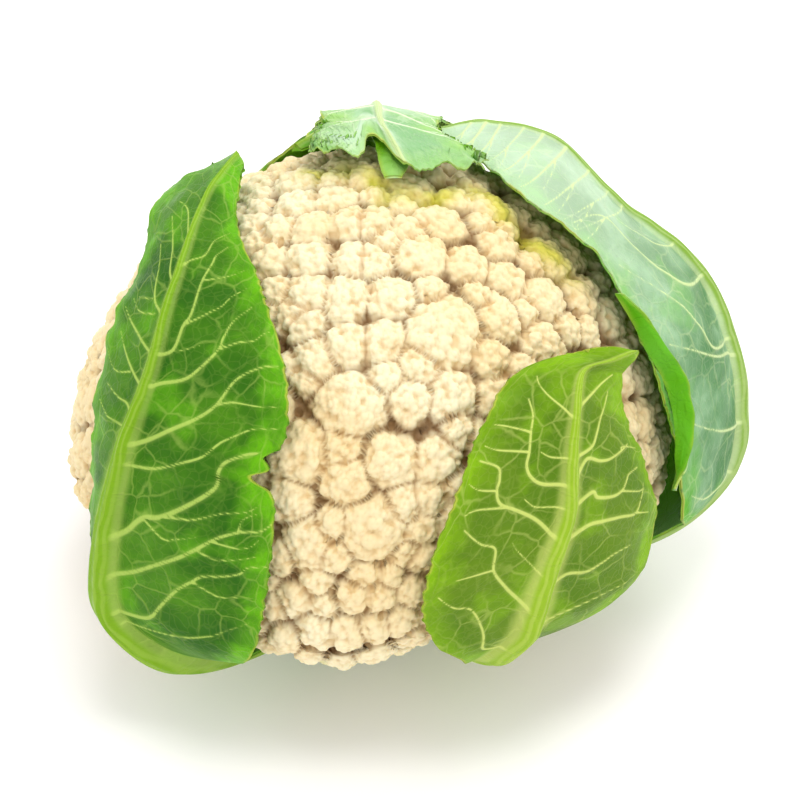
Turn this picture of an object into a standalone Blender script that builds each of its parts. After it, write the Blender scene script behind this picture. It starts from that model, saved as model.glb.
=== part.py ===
"""A trimmed cauliflower: the white curd on its cut stem, held in five leaves.

Metres, +Z up, the cut face of the stem on z = 0 and the head's axis on x = y = 0.
The front of the head faces -Y.

Everything that wraps the head is placed in head coordinates, (turn, climb, gap):
  turn   degrees around the head, 0 at the front, + towards +X
  climb  degrees up from the head's widest level, 90 at the crown, -90 at the stem
  gap    millimetres outside the curd's smooth envelope
"""
import math

import bmesh
import bpy
from mathutils import Vector

MM = 0.001

# The curd's smooth envelope: two half ellipsoids that share a round widest level.
HEAD_RADIUS = 0.085
DOME_HEIGHT = 0.087
UNDERSIDE_DEPTH = 0.032
WIDEST_LEVEL = 0.0497

# The domed clusters on the curd.
CLUSTER_COUNT = 190
CLUSTER_DEPTH = 0.0046
CLUSTER_REACH = 0.0135
CURD_SUBDIVISIONS = 5
CURD_INSET = 0.0006
# Where the curd leaves its round envelope: (turn, climb, half width, half height) in
# degrees and the depth inwards in metres. The front right leaf's stalk presses into it,
# and a few clusters hang lower at the front.
DENTS = (
    (24.0, -24.0, 22.0, 30.0, 0.0060),
    (-7.0, -25.0, 16.0, 25.0, -0.0050),
    (-98.0, -8.0, 24.0, 22.0, -0.0055),
)
SEAT_HEIGHT = 0.0192
GOLDEN_ANGLE = math.pi * (3.0 - math.sqrt(5.0))

# The stem.
STEM_RADIUS_TOP = 0.0164
STEM_RADIUS_FOOT = 0.0168
STEM_SIDES = 32
STEM_EDGE = 0.0010
SEAT_GAP = 0.0003

# Leaves: how finely they are lofted, and their thickness in metres.
LENGTHWISE_STEPS = 30
BLADE_STEPS = 4
BLADE_THICKNESS = 0.0021
MARGIN_THICKNESS = 0.0012
STUB_LENGTHWISE_STEPS = 6
STUB_BLADE_STEPS = 2
STUB_THICKNESS = 0.0040
# Across the midrib: distance from its middle in half widths, height in crest heights.
RIB_PROFILE = ((1.0, 0.0), (0.62, 0.72))
# A midrib narrows from base to tip by this power of the way left to the tip.
RIB_TAPER = 1.6
# It takes up no more than this share of the half leaf beside it.
RIB_SHARE = 0.8
SMALLEST_WIDTH = 0.000001

# Each leaf has rows from its base on the stem to its tip. A row holds, in head
# coordinates, the leaf's inner face at one margin, under the midrib, and at the other
# margin. `ribs` gives the midrib's (half width, crest height) in millimetres at the
# base and at the tip.
LEAVES = {
    "left_leaf": {
        "rows": (
            ((-58, -79, 7), (-42, -79, 8), (-26, -79, 7)),
            ((-54, -36, 6), (-41, -30, 9), (-28, -36, 5)),
            ((-55, -12, 4), (-48, -12, 8), (-21, -6, 4)),
            ((-60, 8, 4), (-50, 10, 6), (-19, 12, 3)),
            ((-66, 22, 4), (-51, 26, 5.5), (-19, 30, 3)),
            ((-75, 34, 4), (-54, 39, 5), (-21, 45, 3)),
            ((-89, 46, 5), (-68, 53, 5), (-41, 60, 3)),
            ((-112, 48, 8), (-93, 60, 5), (-78, 65, 3)),
            ((-127, 58, 5), (-123, 61, 5), (-119, 63, 4)),
        ),
        "ribs": ((6.8, 7.5), (0.9, 0.9)),
    },
    "front_right_leaf": {
        "rows": (
            ((10, -79, 7), (26, -79, 8), (42, -79, 7)),
            ((19, -44, 1), (26, -46, 1.5), (38, -44, 2)),
            ((16, -12, 2), (26, -15, -1), (47, -15, 3)),
            ((9, 7, 2.5), (30, 7, 2), (55, -2, 4)),
            ((12, 20, 3), (37, 20, 3), (60, 9, 3)),
            ((18, 31, 3), (40.5, 29, 4), (59, 20, 3)),
            ((25, 39, 3), (45.5, 36, 5), (58, 27, 4)),
            ((37, 45, 4), (51.5, 40, 5), (61, 34, 5)),
            ((56, 42, 5), (60, 38, 6), (63, 35, 6)),
            ((66, 37, 7), (67, 36, 7), (68, 35, 7)),
        ),
        "ribs": ((6.5, 5.5), (0.5, 0.3)),
    },
    "right_leaf": {
        "rows": (
            ((74, -79, 7), (90, -79, 8), (106, -79, 7)),
            ((78, -44, 8), (90, -40, 12), (103, -42, 9)),
            ((77, -20, 7), (91, -22, 13), (114, -20, 7)),
            ((70, -3, 5), (93, -1, 14.5), (124, 0, 6)),
            ((71, 15, 4.5), (98, 11, 16), (130, 12, 7)),
            ((74, 31, 4.5), (106, 24, 15), (136, 24, 7)),
            ((83, 47, 5), (118, 36, 8.5), (143, 32, 8)),
            ((90, 60, 5), (133, 47, 11), (149, 38, 9)),
            ((124, 66, 2.5), (146, 54, 7.5), (153, 46, 7)),
            ((153, 62, 2.3), (155, 59, 2.5), (156, 56, 2.5)),
        ),
        "ribs": ((7.0, 8.0), (0.9, 0.8)),
    },
    "top_leaf": {
        "rows": (
            ((-174, -79, 7), (172, -79, 8), (158, -79, 7)),
            ((-176, -44, 8), (172, -42, 9), (160, -44, 8)),
            ((-172, -18, 7), (173, -15, 8), (157, -18, 8)),
            ((-168, 3, 7), (175, 8, 7), (157, 3, 8)),
            ((-167, 22, 7), (177, 28, 7), (158, 20, 7.5)),
            ((-166, 40, 6.5), (180, 46, 7), (159, 40, 6.5)),
            ((-164, 55, 6.8), (179, 61, 7), (158, 58, 6.2)),
            ((-157, 66, 6.6), (175, 74, 5.5), (146, 68, 6)),
            ((-137, 73, 5), (118, 84, 5), (121, 66.5, 5.5)),
        ),
        "ribs": ((6.5, 7.0), (0.8, 0.5)),
    },
    "back_left_leaf": {
        "rows": (
            ((-136, -79, 7), (-150, -79, 8), (-164, -79, 7)),
            ((-138, -44, 6), (-150, -42, 8), (-163, -44, 6)),
            ((-134, -18, 4), (-152, -15, 6), (-168, -18, 4)),
            ((-136, 3, 3), (-155, 8, 4), (-172, 3, 3)),
            ((-145, 20, 3), (-159, 28, 3), (-172, 20, 2.5)),
            ((-157, 36, 3), (-165, 44, 3), (-172, 40, 2)),
            ((-162, 52, 3), (-167, 57, 2.5), (-172, 58, 2)),
            ((-150, 65, 3), (-155, 67, 2.5), (-161, 69, 2)),
            ((-137, 68, 3), (-138, 69, 3), (-139, 70, 3)),
        ),
        "ribs": ((6.0, 5.5), (0.8, 0.5)),
    },
}

# Stumps of three outer leaves cut off close to the stem: turn of each middle.
STUBS = {"stub_left": -97, "stub_front": -8, "stub_right": 131}
STUB_HALF_TURN = 15
STUB_CLIMBS = (-79, -73, -67, -61)
STUB_GAPS = (7, 7.5, 7.5, 7)
STUB_RIBS = ((6.0, 3.0), (6.0, 2.0))

# (colour, roughness) of each material; nothing here is metal.
MATERIALS = {
    "curd_cream": ((0.78, 0.68, 0.46, 1.0), 0.62),
    "stem_pale": ((0.62, 0.66, 0.38, 1.0), 0.55),
    "leaf_green": ((0.13, 0.30, 0.045, 1.0), 0.50),
}


def material(name):
    """The Principled material called name."""
    colour, roughness = MATERIALS[name]
    made = bpy.data.materials.new(name)
    made.use_nodes = True
    shader = made.node_tree.nodes["Principled BSDF"]
    shader.inputs["Base Color"].default_value = colour
    shader.inputs["Roughness"].default_value = roughness
    shader.inputs["Metallic"].default_value = 0.0
    return made


def add_object(name, mesh_data, surface, collection):
    """Close a bmesh into one smooth-shaded object of the part."""
    bmesh.ops.recalc_face_normals(mesh_data, faces=mesh_data.faces)
    mesh = bpy.data.meshes.new(name)
    mesh_data.to_mesh(mesh)
    mesh_data.free()
    mesh.materials.append(surface)
    for face in mesh.polygons:
        face.use_smooth = True
    made = bpy.data.objects.new(name, mesh)
    collection.objects.link(made)
    return made


def direction(turn, climb):
    """Unit direction from the middle of the head, from two angles in degrees."""
    around = math.radians(turn)
    up = math.radians(climb)
    return Vector((math.cos(up) * math.sin(around), -math.cos(up) * math.cos(around),
                   math.sin(up)))


def on_head(way, gap):
    """Point in direction way, gap metres outside the curd's envelope."""
    half_height = DOME_HEIGHT if way.z >= 0.0 else UNDERSIDE_DEPTH
    return Vector(((HEAD_RADIUS + gap) * way.x, (HEAD_RADIUS + gap) * way.y,
                   WIDEST_LEVEL + (half_height + gap) * way.z))


def spline(points, position):
    """Smooth curve through a list of vectors; position runs 0 to 1."""
    reach = position * (len(points) - 1)
    index = min(int(reach), len(points) - 2)
    t = reach - index
    before = points[max(index - 1, 0)]
    start = points[index]
    end = points[index + 1]
    after = points[min(index + 2, len(points) - 1)]
    return 0.5 * (2.0 * start + (end - before) * t
                  + (2.0 * before - 5.0 * start + 4.0 * end - after) * t * t
                  + (3.0 * start - before - 3.0 * end + after) * t * t * t)


def placed(point):
    """Head coordinates as one 4-vector: the direction, then the gap in metres."""
    way = direction(point[0], point[1])
    return Vector((way.x, way.y, way.z, point[2] * MM))


def to_space(mixed):
    """A 4-vector of direction and gap as a point in space."""
    return on_head(mixed.to_3d().normalized(), mixed.w)


def leaf_section(ends, rib_half_width, rib_height, blade_steps, blade_thickness):
    """One cross-section: (point on the inner face, thickness there) from edge to edge."""
    middle = to_space(ends[1])
    section = []
    for side, edge in ((0, ends[0]), (1, ends[2])):
        half_blade = max((to_space(edge) - middle).length, SMALLEST_WIDTH)
        rib_share = min(rib_half_width / half_blade, RIB_SHARE)
        places = []
        for step in range(blade_steps):
            share = 1.0 - (1.0 - rib_share) * step / blade_steps
            fade = (share - rib_share) / (1.0 - rib_share)
            body = blade_thickness + (MARGIN_THICKNESS - blade_thickness) * fade
            places.append((share, body))
        for distance, height in RIB_PROFILE:
            places.append((rib_share * distance, blade_thickness + rib_height * height))
        if side == 0:
            places = [(0.5 - 0.5 * share, body) for share, body in places]
        else:
            places = [(0.5 + 0.5 * share, body) for share, body in reversed(places)]
        section += places
        if side == 0:
            section.append((0.5, blade_thickness + rib_height))
    return [(to_space(spline(ends, share)), body) for share, body in section]


def leaf_mesh(rows, ribs, lengthwise_steps, blade_steps, blade_thickness):
    """A closed leaf: an inner face lofted through the rows and an outer one over it."""
    lines = [[placed(row[side]) for row in rows] for side in range(3)]
    base_rib, tip_rib = ribs
    sections = []
    for step in range(lengthwise_steps + 1):
        along = step / lengthwise_steps
        ends = [spline(line, along) for line in lines]
        left_over = (1.0 - along) ** RIB_TAPER
        half_width = (tip_rib[0] + (base_rib[0] - tip_rib[0]) * left_over) * MM
        height = (tip_rib[1] + (base_rib[1] - tip_rib[1]) * left_over) * MM
        sections.append(leaf_section(ends, half_width, height, blade_steps,
                                     blade_thickness))

    mesh_data = bmesh.new()
    inner = [[mesh_data.verts.new(point) for point, _ in section] for section in sections]
    outer = []
    last_row = len(sections) - 1
    last_column = len(sections[0]) - 1
    head_middle = Vector((0.0, 0.0, WIDEST_LEVEL))
    for row, section in enumerate(sections):
        line = []
        for column, (point, body) in enumerate(section):
            along = (sections[min(row + 1, last_row)][column][0]
                     - sections[max(row - 1, 0)][column][0])
            across = (section[min(column + 1, last_column)][0]
                      - section[max(column - 1, 0)][0])
            outward = along.cross(across).normalized()
            if outward.dot(point - head_middle) < 0.0:
                outward.negate()
            line.append(mesh_data.verts.new(point + outward * body))
        outer.append(line)

    for row in range(last_row):
        for column in range(last_column):
            for sheet in (inner, outer):
                mesh_data.faces.new((sheet[row][column], sheet[row][column + 1],
                                     sheet[row + 1][column + 1], sheet[row + 1][column]))
    edge_loop = [(0, column) for column in range(last_column)]
    edge_loop += [(row, last_column) for row in range(last_row)]
    edge_loop += [(last_row, column) for column in range(last_column, 0, -1)]
    edge_loop += [(row, 0) for row in range(last_row, 0, -1)]
    for (row, column), (next_row, next_column) in zip(edge_loop,
                                                      edge_loop[1:] + edge_loop[:1]):
        mesh_data.faces.new((inner[row][column], inner[next_row][next_column],
                             outer[next_row][next_column], outer[row][column]))
    return mesh_data


def cluster_centres():
    """Directions of the curd's clusters, spiralling down from the crown."""
    centres = []
    for index in range(CLUSTER_COUNT):
        height = 1.0 - 2.0 * (index + 0.5) / CLUSTER_COUNT
        ring = math.sqrt(1.0 - height * height)
        around = index * GOLDEN_ANGLE
        centres.append(Vector((ring * math.sin(around), -ring * math.cos(around), height)))
    return centres


def dent(way):
    """How far inside its round envelope the curd lies in direction way, in metres."""
    turn = math.degrees(math.atan2(way.x, -way.y))
    climb = math.degrees(math.asin(max(min(way.z, 1.0), -1.0)))
    depth = 0.0
    for at_turn, at_climb, half_width, half_height, deep in DENTS:
        spread = ((turn - at_turn) / half_width) ** 2 + ((climb - at_climb) / half_height) ** 2
        depth += deep * math.exp(-spread)
    return depth


def add_curd(surface, collection):
    """The curd: a ball of domed clusters, flat where it sits on the stem."""
    centres = [on_head(way, 0.0) for way in cluster_centres()]
    mesh_data = bmesh.new()
    bmesh.ops.create_icosphere(mesh_data, subdivisions=CURD_SUBDIVISIONS, radius=1.0)
    for vert in mesh_data.verts:
        way = vert.co.normalized()
        smooth = on_head(way, 0.0)
        nearest = min((smooth - centre).length for centre in centres)
        sunk = min(nearest / CLUSTER_REACH, 1.0) ** 2 * CLUSTER_DEPTH
        point = on_head(way, -CURD_INSET - sunk - dent(way))
        point.z = max(point.z, SEAT_HEIGHT)
        vert.co = point
    return add_object("curd", mesh_data, surface, collection)


def add_stem(surface, collection):
    """The stem: a short round stump, cut flat at the foot."""
    height = SEAT_HEIGHT - SEAT_GAP
    mesh_data = bmesh.new()
    bmesh.ops.create_cone(mesh_data, cap_ends=True, segments=STEM_SIDES,
                          radius1=STEM_RADIUS_FOOT, radius2=STEM_RADIUS_TOP, depth=height)
    bmesh.ops.translate(mesh_data, verts=mesh_data.verts, vec=(0.0, 0.0, 0.5 * height))
    made = add_object("stem", mesh_data, surface, collection)
    bevel = made.modifiers.new("rounded_cut", "BEVEL")
    bevel.width = STEM_EDGE
    bevel.segments = 2
    return made


def main():
    for old in list(bpy.data.objects):
        bpy.data.objects.remove(old, do_unlink=True)
    collection = bpy.data.collections.new("cauliflower")
    bpy.context.scene.collection.children.link(collection)
    surfaces = {name: material(name) for name in MATERIALS}

    add_curd(surfaces["curd_cream"], collection)
    add_stem(surfaces["stem_pale"], collection)
    for name, leaf in LEAVES.items():
        mesh_data = leaf_mesh(leaf["rows"], leaf["ribs"], LENGTHWISE_STEPS, BLADE_STEPS,
                              BLADE_THICKNESS)
        add_object(name, mesh_data, surfaces["leaf_green"], collection)
    for name, turn in STUBS.items():
        rows = [tuple((turn + side * STUB_HALF_TURN, climb, gap) for side in (-1, 0, 1))
                for climb, gap in zip(STUB_CLIMBS, STUB_GAPS)]
        mesh_data = leaf_mesh(rows, STUB_RIBS, STUB_LENGTHWISE_STEPS, STUB_BLADE_STEPS,
                              STUB_THICKNESS)
        add_object(name, mesh_data, surfaces["stem_pale"], collection)


main()
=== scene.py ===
"""The looks of a trimmed cauliflower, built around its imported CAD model.

Everything that wraps the head is placed in head coordinates, (turn, climb, gap):
  turn   degrees around the head, 0 at the front, + towards +X
  climb  degrees up from the head's widest level, 90 at the crown, -90 at the stem
  gap    millimetres outside the curd's smooth envelope
A place on a leaf is (along, across): along runs 0 to 1 from the stem to the tip, and
across runs -1 to 1 from the first margin over the midrib to the second one.
"""
import math
import random

import bpy
import numpy as np
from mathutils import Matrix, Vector
from mathutils.kdtree import KDTree


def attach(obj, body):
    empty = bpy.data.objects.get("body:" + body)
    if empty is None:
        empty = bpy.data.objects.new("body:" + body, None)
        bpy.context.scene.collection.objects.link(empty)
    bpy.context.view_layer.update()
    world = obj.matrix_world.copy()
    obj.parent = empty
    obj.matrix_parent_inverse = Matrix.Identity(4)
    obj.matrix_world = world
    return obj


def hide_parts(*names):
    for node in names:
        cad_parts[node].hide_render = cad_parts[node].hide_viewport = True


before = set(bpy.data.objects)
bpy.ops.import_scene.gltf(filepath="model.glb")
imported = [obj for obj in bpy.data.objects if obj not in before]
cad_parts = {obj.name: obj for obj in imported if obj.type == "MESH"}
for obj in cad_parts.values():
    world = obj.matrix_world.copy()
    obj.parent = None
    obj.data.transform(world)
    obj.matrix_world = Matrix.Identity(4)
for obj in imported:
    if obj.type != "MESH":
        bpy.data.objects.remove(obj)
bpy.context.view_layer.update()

MM = 0.001

# ---------------------------------------------------------------- head coordinates

HEAD_RADIUS = 0.085
DOME_HEIGHT = 0.087
UNDERSIDE_DEPTH = 0.032
WIDEST_LEVEL = 0.0497
CURD_INSET = 0.0006
SEAT_HEIGHT = 0.0192
# Where the curd leaves its round envelope: (turn, climb, half width, half height) in
# degrees and the depth inwards in metres.
DENTS = (
    (24.0, -24.0, 22.0, 30.0, 0.0060),
    (-7.0, -25.0, 16.0, 25.0, -0.0050),
    (-98.0, -8.0, 24.0, 22.0, -0.0055),
)


def directions(turn, climb):
    """Unit directions from the middle of the head, from angles in degrees."""
    around = np.radians(turn)
    up = np.radians(climb)
    return np.stack([np.cos(up) * np.sin(around), -np.cos(up) * np.cos(around),
                     np.sin(up)], axis=-1)


def on_head(ways, gap):
    """Points in directions ways, gap metres outside the curd's envelope."""
    half_height = np.where(ways[..., 2] >= 0.0, DOME_HEIGHT, UNDERSIDE_DEPTH)
    return np.stack([(HEAD_RADIUS + gap) * ways[..., 0],
                     (HEAD_RADIUS + gap) * ways[..., 1],
                     WIDEST_LEVEL + (half_height + gap) * ways[..., 2]], axis=-1)


def smoothstep(low, high, value):
    """0 below low, 1 above high, and a smooth rise between them."""
    t = np.clip((value - low) / (high - low), 0.0, 1.0)
    return t * t * (3.0 - 2.0 * t)


def noise(points, size, seed):
    """Smooth noise in -1..1 at points of shape (n, 3); size is its grain in metres."""
    lattice = np.random.default_rng(seed).uniform(-1.0, 1.0, (32, 32, 32))
    reach = points / size + 1000.0
    cell = np.floor(reach).astype(int)
    part = reach - cell
    part = part * part * (3.0 - 2.0 * part)
    total = np.zeros(len(points))
    for dx in (0, 1):
        for dy in (0, 1):
            for dz in (0, 1):
                share = ((part[:, 0] if dx else 1.0 - part[:, 0])
                         * (part[:, 1] if dy else 1.0 - part[:, 1])
                         * (part[:, 2] if dz else 1.0 - part[:, 2]))
                total += share * lattice[(cell[:, 0] + dx) % 32, (cell[:, 1] + dy) % 32,
                                         (cell[:, 2] + dz) % 32]
    return total


def noise_line(values, size, seed):
    """Smooth noise in -1..1 along a line of values."""
    flat = np.zeros((values.size, 3))
    flat[:, 0] = values.ravel()
    return noise(flat, size, seed).reshape(values.shape)


# ------------------------------------------------------------------------- meshes

def add_mesh(name, points, quads, corner_uvs, values, surface):
    """An object made of quads, with its UV map and its named values per point."""
    mesh = bpy.data.meshes.new(name)
    mesh.vertices.add(len(points))
    mesh.vertices.foreach_set("co", np.ascontiguousarray(points, dtype=np.float32).ravel())
    mesh.loops.add(quads.size)
    mesh.loops.foreach_set("vertex_index", quads.astype(np.int32).ravel())
    mesh.polygons.add(len(quads))
    mesh.polygons.foreach_set("loop_start", np.arange(0, quads.size, 4, dtype=np.int32))
    mesh.update(calc_edges=True)
    mesh.shade_smooth()
    layer = mesh.uv_layers.new(name="OFBake")
    layer.data.foreach_set("uv", corner_uvs.astype(np.float32).ravel())
    for key, value in values.items():
        if value.ndim == 2:
            made = mesh.attributes.new(key, "FLOAT_VECTOR", "POINT")
            made.data.foreach_set("vector", value.astype(np.float32).ravel())
        else:
            made = mesh.attributes.new(key, "FLOAT", "POINT")
            made.data.foreach_set("value", value.astype(np.float32).ravel())
    mesh.materials.append(surface)
    mesh.validate()
    made = bpy.data.objects.new(name, mesh)
    bpy.context.scene.collection.objects.link(made)
    return made


def vertex_normals(points, quads):
    """Outward unit normals of a quad mesh, one per point."""
    corners = points[quads]
    face = np.cross(corners[:, 2] - corners[:, 0], corners[:, 3] - corners[:, 1])
    total = np.zeros_like(points)
    for corner in range(4):
        for axis in range(3):
            total[:, axis] += np.bincount(quads[:, corner], face[:, axis], len(points))
    return total / np.maximum(np.linalg.norm(total, axis=1, keepdims=True), 1e-12)


# --------------------------------------------------------------------------- curd

# Clusters on the curd that give its look: turn, climb and radius in millimetres.
CLUSTERS = (
    (-17, 35, 11), (-18, 26, 8), (-6, 31, 9), (-7.5, 37, 7), (4.5, 35, 9), (14, 34, 8),
    (7, 27, 6), (12, 27.5, 6), (0.5, 22, 12), (-12.5, 18.5, 9), (-7, 17, 5), (-11, 12, 6),
    (-19, 15, 5), (-3.5, 9, 5.5), (1.5, 9, 5.5), (3.5, 13, 4.5), (6.5, 17.5, 5), (8, 9, 5),
    (10, 16, 5), (-15.5, 7, 6.5), (-20, 5, 6), (-9.5, 7, 5), (-17, -8, 7), (-10.5, 1, 7),
    (-5, 1, 7), (0.5, 2, 6), (6, 3, 6), (-6, -20, 7), (-13, -15, 7), (1, -15, 7),
    (-5.5, 45, 12), (-17.5, 52.5, 7.5), (-19, 48.5, 5), (-8.5, 56.5, 7.5), (4, 57, 7),
    (25.5, 57, 14), (15, 52, 7), (36, 49.5, 6), (21, 45.5, 9), (10, 46, 7),
    (54, 46.5, 8.5), (47, 55.5, 8.5), (67, 52.5, 8), (79, 45, 8), (72, 41, 6),
    (87, 53.5, 9), (62, 60, 7), (53, 67, 8), (78, 65, 7), (105, 66, 9), (72, 77, 9),
    (33, 73.5, 9), (7, 66, 8), (-13, 65, 9), (-30, 64, 8), (0, 74, 7), (-14, 74, 7),
    (-42, 71.5, 8), (-60, 66, 8), (-32, 60, 6), (-25, 59, 6), (-35, 83, 8), (-65, 77, 8),
    (-78, 71, 8), (-75, 66, 7), (-90, 66, 7), (-100, 75, 9), (-110, 82, 8), (0, 84, 8),
    (-95, 35, 9), (-100, 28, 8), (-92, 25, 8), (-105, 38, 8), (-80, 5, 9), (-88, 12, 8),
    (-78, -8, 8), (-85, -2, 8), (66, 22, 8), (62, 12, 8), (64, 3, 8), (72, 30, 8),
)
# The rest of the curd is filled with clusters: smallest and largest radius in
# millimetres, and how near two may stand, as a share of both radii.
FILL_CLUSTERS = ((7.0, 10.0, 0.72), (4.5, 6.0, 0.66))
FILL_TRIES = 9000
CURD_CELLS = 290
# A cluster falls by this share of its radius at its edge, and by this power on the way.
CLUSTER_FALL = 0.33
CLUSTER_POWER = 2.4
# Small clusters stand lower than one of this radius by a share of what they lack.
LARGEST_CLUSTER = 14.0 * MM
SMALL_CLUSTER_DROP = 0.12
CLUSTER_FLOOR = 5.5 * MM
# The cut along each crease between two clusters.
CREASE_CUT = 0.9 * MM
CREASE_WIDTH = 0.40 * MM
# Bumps on the clusters, then buds on the bumps: spacing, height, and how much lower
# some of them stand, in metres.
BUMPS = (4.3 * MM, 1.6 * MM, 0.30 * MM)
BUDS = (1.75 * MM, 0.5 * MM, 0.10 * MM)
# A dome is a part of a ball this many spacings in radius.
DOME_RADIUS = 0.80
# Smaller domes fill the holes: their spacing in spacings, and how near they may come.
FILLER_SPACING = 0.62
FILLER_GAP = 0.74


def ball_grid(cells):
    """A ball of six square grids: unit directions, quads and UVs of their corners."""
    steps = np.tan(np.linspace(-1.0, 1.0, cells + 1) * math.pi / 4.0)
    first, second = np.meshgrid(steps, steps, indexing="ij")
    ones = np.ones_like(first)
    sides = ((ones, first, second), (-ones, -first, second), (-first, ones, second),
             (first, -ones, second), (-second, first, ones), (second, first, -ones))
    corner = np.arange((cells + 1) ** 2).reshape(cells + 1, cells + 1)
    ring = np.stack([corner[:-1, :-1], corner[1:, :-1], corner[1:, 1:], corner[:-1, 1:]],
                    axis=-1).reshape(-1, 4)
    place = np.stack(np.meshgrid(np.linspace(0.0, 1.0, cells + 1),
                                 np.linspace(0.0, 1.0, cells + 1), indexing="ij"),
                     axis=-1).reshape(-1, 2)
    points, quads, uvs = [], [], []
    for index, side in enumerate(sides):
        points.append(np.stack(side, axis=-1).reshape(-1, 3))
        quads.append(ring + index * len(place))
        origin = np.array([index % 3, index // 3])
        uvs.append(((origin + 0.01 + 0.98 * place) / np.array([3.0, 2.0]))[ring])
    points = np.concatenate(points)
    points /= np.linalg.norm(points, axis=1, keepdims=True)
    _, keep, same = np.unique(np.round(points * 1e5).astype(int), axis=0,
                              return_index=True, return_inverse=True)
    return points[keep], same.ravel()[np.concatenate(quads)], np.concatenate(uvs)


def dent(ways):
    """How far inside its round envelope the curd lies in directions ways."""
    turn = np.degrees(np.arctan2(ways[:, 0], -ways[:, 1]))
    climb = np.degrees(np.arcsin(np.clip(ways[:, 2], -1.0, 1.0)))
    depth = np.zeros(len(ways))
    for at_turn, at_climb, half_width, half_height, deep in DENTS:
        spread = ((turn - at_turn) / half_width) ** 2
        spread += ((climb - at_climb) / half_height) ** 2
        depth += deep * np.exp(-spread)
    return depth


def cluster_list(rng):
    """Centres and radii of all clusters: those above, then others to fill the rest."""
    centres = [on_head(directions(turn, climb), 0.0) for turn, climb, _ in CLUSTERS]
    radii = [radius * MM for _, _, radius in CLUSTERS]
    for smallest, largest, nearness in FILL_CLUSTERS:
        for _ in range(FILL_TRIES):
            climb = math.degrees(math.asin(rng.uniform(-0.98, 1.0)))
            centre = on_head(directions(rng.uniform(-180.0, 180.0), climb), 0.0)
            radius = rng.uniform(smallest, largest) * MM
            gaps = np.linalg.norm(np.array(centres) - centre, axis=1)
            if np.all(gaps > nearness * (np.array(radii) + radius)):
                centres.append(centre)
                radii.append(radius)
    return np.array(centres), np.array(radii)


def scatter(points, spacing, rng, taken=(), clear=0.0):
    """Indices of points at least spacing apart, and at least clear from taken points."""
    size = max(spacing, clear)
    cells = {}
    places = points.tolist()
    keys = np.floor(points / size).astype(int).tolist()
    for index in taken:
        cells.setdefault(tuple(keys[index]), []).append((*places[index], clear * clear))
    around = [(dx, dy, dz) for dx in (-1, 0, 1) for dy in (-1, 0, 1) for dz in (-1, 0, 1)]
    chosen = []
    order = list(range(len(points)))
    rng.shuffle(order)
    for index in order[:len(order) * 2 // 3]:
        x, y, z = places[index]
        i, j, k = keys[index]
        free = True
        for dx, dy, dz in around:
            for px, py, pz, least in cells.get((i + dx, j + dy, k + dz), ()):
                if (x - px) ** 2 + (y - py) ** 2 + (z - pz) ** 2 < least:
                    free = False
                    break
            if not free:
                break
        if free:
            cells.setdefault((i, j, k), []).append((x, y, z, spacing * spacing))
            chosen.append(index)
    return chosen


def domes(warped, bumps, rng):
    """How far each point lies under the tops of small domes scattered on the surface."""
    spacing, height, spread = bumps
    tree = KDTree(len(warped))
    for index, place in enumerate(warped.tolist()):
        tree.insert(place, index)
    tree.balance()
    large = scatter(warped, spacing, rng)
    small = scatter(warped, FILLER_SPACING * spacing, rng, large, FILLER_GAP * spacing)
    level = np.full(len(warped), -height)
    for group, scale in ((large, 1.0), (small, 0.7)):
        for index in group:
            radius = DOME_RADIUS * spacing * scale * rng.uniform(0.92, 1.12)
            top = -spread * rng.random() - (1.0 - scale) * height
            found = tree.find_range(warped[index], 0.97 * radius)
            where = np.fromiter((item[1] for item in found), int, len(found))
            away = np.fromiter((item[2] for item in found), float, len(found))
            fall = 1.0 - np.sqrt(1.0 - (away / radius) ** 2)
            dome = top - height * 1.6 * scale * fall
            level[where] = np.maximum(level[where], dome)
    return level


# Along the leaves' edges the curd is tinted yellow-green: turn and climb of places along those
# edges.
LEAF_EDGE_TINTS = ((-137, 73), (-150, 76), (-175, 79), (178, 84), (140, 87), (105, 84), (108, 77),
          (118, 71), (112, 66), (96, 64), (86, 57), (83, 50))
EDGE_TINT_REACH = 4.5 * MM


def leaf_edge_tint(ways):
    """How strongly the curd is tinted yellow-green at directions ways, 0 to 1."""
    stops = directions(np.array([turn for turn, _ in LEAF_EDGE_TINTS], dtype=float),
                       np.array([climb for _, climb in LEAF_EDGE_TINTS], dtype=float))
    shares = np.linspace(0.0, 1.0, 6)[:, None]
    track = np.concatenate([start + (end - start) * shares
                            for start, end in zip(stops[:-1], stops[1:])])
    nearest = np.full(len(ways), 1.0)
    for stop in track:
        nearest = np.minimum(nearest, np.linalg.norm(ways - stop, axis=1))
    return np.exp(-(nearest * HEAD_RADIUS / EDGE_TINT_REACH) ** 2)


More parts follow.
